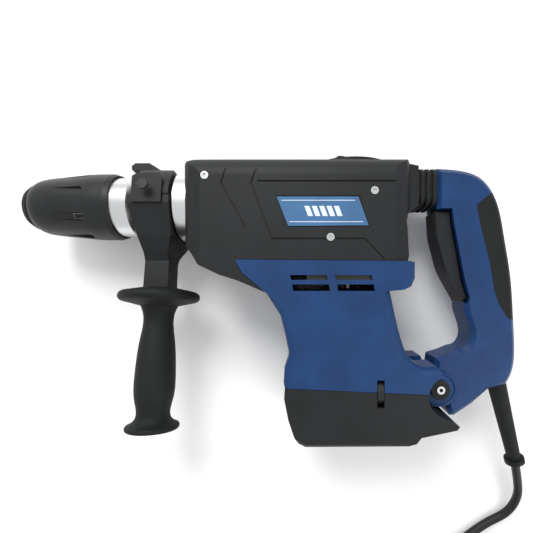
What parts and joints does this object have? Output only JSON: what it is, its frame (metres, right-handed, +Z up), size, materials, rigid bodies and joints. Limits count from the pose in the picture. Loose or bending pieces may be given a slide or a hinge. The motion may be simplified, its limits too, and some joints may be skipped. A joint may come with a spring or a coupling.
{
  "type": "electric demolition hammer",
  "caption": "Electric rotary demolition hammer with a keyless SDS-max chuck, a turnable side handle, a damped rear D-handle with a long trigger, and a mains cord.",
  "frame": {"origin": "on the resting right flank of the gear housing, straight under the working axis", "axes": "the tool lies on its right side; -X along the working axis out of the chuck, +Y the tool's own up, +Z up from the surface, towards its left side"},
  "size_m": [0.523, 0.5526, 0.0984],
  "materials": {
    "blue_plastic": "satin",
    "black_plastic": "fine texture",
    "soft_rubber": "matt",
    "sleeve_plastic": "satin",
    "cast_aluminium": "turned",
    "hard_steel": "ground",
    "zinc_steel": "zinc plated",
    "black_steel": "black oxide",
    "badge": "printed with plain lines",
    "lamination": "stacked",
    "copper": "turned copper",
    "fan_plastic": "moulded",
    "board": "lacquered",
    "brass_part": "plain",
    "carbon": "carbon",
    "cord_rubber": "smooth"
  },
  "bodies": {
    "housing": {"gear_housing_left": "black_plastic", "gear_housing_right": "black_plastic", "motor_housing_left": "blue_plastic", "motor_housing_right": "blue_plastic", "base_cover": "black_plastic", "pivot_bracket": "cast_aluminium", "badge_plate": "badge", "housing_screws": "zinc_steel", "mode_bezel": "black_plastic", "stator": "lamination", "stator_frame": "fan_plastic", "upper_bearing_plate": "fan_plastic", "lower_bearing_plate": "fan_plastic", "motor_bearings": "hard_steel", "carbon_brushes": "carbon", "brush_holders": "brass_part", "control_board": "board", "nose_barrel": "cast_aluminium", "spindle_bearing": "hard_steel", "connecting_rod": "hard_steel", "piston": "cast_aluminium", "wrist_pin": "hard_steel", "crank_gear": "hard_steel", "bellows": "soft_rubber", "damper_spring": "hard_steel"},
    "spindle": {"tool_holder": "hard_steel", "spindle_gear": "hard_steel", "locking_rollers": "hard_steel", "dust_cap": "soft_rubber", "sleeve_spring": "hard_steel"},
    "locking_sleeve": {"chuck_sleeve": "sleeve_plastic"},
    "impact_bolt_body": {"impact_bolt": "hard_steel"},
    "striker_body": {"striker": "hard_steel"},
    "armature": {"armature_shaft": "hard_steel", "armature_core": "lamination", "commutator": "copper", "cooling_fan": "fan_plastic"},
    "intermediate_shaft": {"intermediate_gear": "hard_steel"},
    "side_handle": {"clamp_strap": "zinc_steel", "side_handle_yoke": "black_plastic", "clamp_cap": "black_plastic", "clamp_block": "black_plastic", "clamp_bolt": "black_steel", "grip_stud": "zinc_steel"},
    "side_handle_grip": {"side_grip": "soft_rubber"},
    "mode_knob": {"mode_selector": "sleeve_plastic"},
    "speed_wheel": {"speed_dial": "sleeve_plastic"},
    "rear_handle": {"rear_handle_left": "blue_plastic", "rear_handle_right": "blue_plastic", "rear_grip_pad": "soft_rubber", "handle_screws": "zinc_steel", "switch_unit": "fan_plastic", "pivot_bolt": "zinc_steel", "strain_relief": "soft_rubber", "cord_tube": "cord_rubber", "cord_coil": "cord_rubber", "cord_tail": "cord_rubber", "plug_body": "cord_rubber", "plug_pins": "brass_part"},
    "trigger_body": {"trigger": "black_plastic"}
  },
  "joints": [
    {"name": "spindle_spin", "type": "hinge", "parent": "housing", "child": "spindle", "pos_m": [0, 0, 0.046], "axis": [1, 0, 0], "continuous": true},
    {"name": "locking_sleeve_slide", "type": "slide", "parent": "spindle", "child": "locking_sleeve", "axis": [1, 0, 0], "range_m": [0, 0.006], "stiffness_N_per_m": 800, "deforming": ["sleeve_spring"]},
    {"name": "impact_bolt_slide", "type": "slide", "parent": "spindle", "child": "impact_bolt_body", "axis": [1, 0, 0], "range_m": [-0.003, 0.008]},
    {"name": "striker_slide", "type": "slide", "parent": "spindle", "child": "striker_body", "axis": [1, 0, 0], "range_m": [-0.009, 0.02]},
    {"name": "armature_spin", "type": "hinge", "parent": "housing", "child": "armature", "pos_m": [0.048, -0.12, 0.046], "axis": [0, 1, 0], "continuous": true},
    {"name": "intermediate_spin", "type": "hinge", "parent": "housing", "child": "intermediate_shaft", "pos_m": [0.018, -0.04, 0.046], "axis": [0, 1, 0], "continuous": true},
    {"name": "side_handle_turn", "type": "hinge", "parent": "housing", "child": "side_handle", "pos_m": [-0.134, 0, 0.046], "axis": [1, 0, 0], "continuous": true},
    {"name": "grip_clamp_turn", "type": "hinge", "parent": "side_handle", "child": "side_handle_grip", "pos_m": [-0.1345, -0.09903, 0.05992], "axis": [0, -0.9903, 0.1392], "continuous": true},
    {"name": "mode_selector_turn", "type": "hinge", "parent": "housing", "child": "mode_knob", "pos_m": [0.052, 0.0385, 0.046], "axis": [0, 1, 0], "range_deg": [-45, 90]},
    {"name": "speed_dial_turn", "type": "hinge", "parent": "housing", "child": "speed_wheel", "pos_m": [0.0716, -0.172, 0.0818], "axis": [1, 0, 0], "range_deg": [-140, 140]},
    {"name": "rear_handle_damping", "type": "hinge", "parent": "housing", "child": "rear_handle", "pos_m": [0.132, -0.175, 0.046], "axis": [0, 0, 1], "range_deg": [0, 2], "stiffness_Nm_per_rad": 400, "deforming": ["bellows", "damper_spring"]},
    {"name": "trigger_press", "type": "slide", "parent": "rear_handle", "child": "trigger_body", "axis": [1, 0, 0], "range_m": [0, 0.006], "stiffness_N_per_m": 500}
  ],
  "couplings": [
    {"joint": "armature_spin", "follows": "spindle_spin", "ratio": 13},
    {"joint": "intermediate_spin", "follows": "spindle_spin", "ratio": -3.25}
  ]
}
